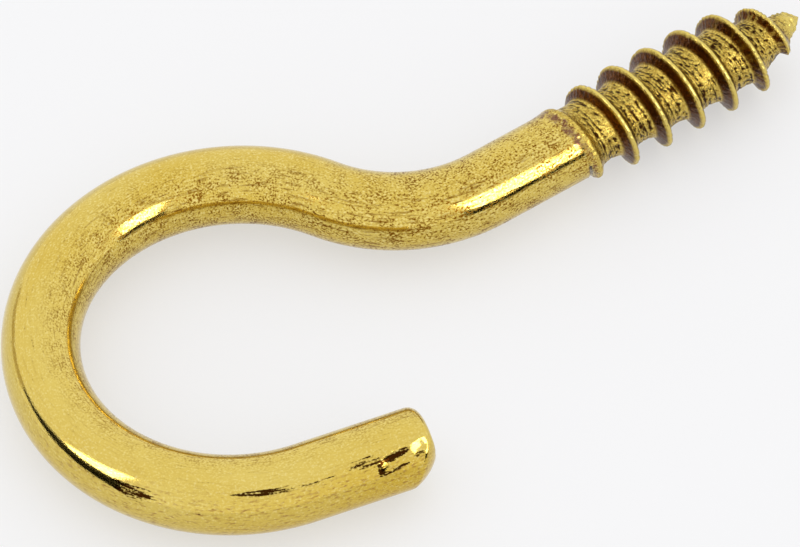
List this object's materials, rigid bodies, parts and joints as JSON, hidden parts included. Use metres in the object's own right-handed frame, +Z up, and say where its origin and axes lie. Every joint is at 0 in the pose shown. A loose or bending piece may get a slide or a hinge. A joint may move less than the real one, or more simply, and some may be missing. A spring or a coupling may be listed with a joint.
{
  "type": "cup hook",
  "caption": "Open round hook bent from one brass wire, with a tapered wood-screw thread on its straight shank, for hanging cups and small things under a shelf.",
  "frame": {"origin": "on the screw axis, where the thread starts to rise from the plain shank", "axes": "+X along the screw axis towards its point, +Z up from the plane in which the wire is bent, and the bow's free end on the -Y side"},
  "size_m": [0.04, 0.0208, 0.0044],
  "materials": {
    "brass_wire": "drawn and tumbled bare brass, lightly pitted, with brown tarnish in the thread"
  },
  "bodies": {
    "root": {"cup_hook": "brass_wire"}
  },
  "joints": []
}
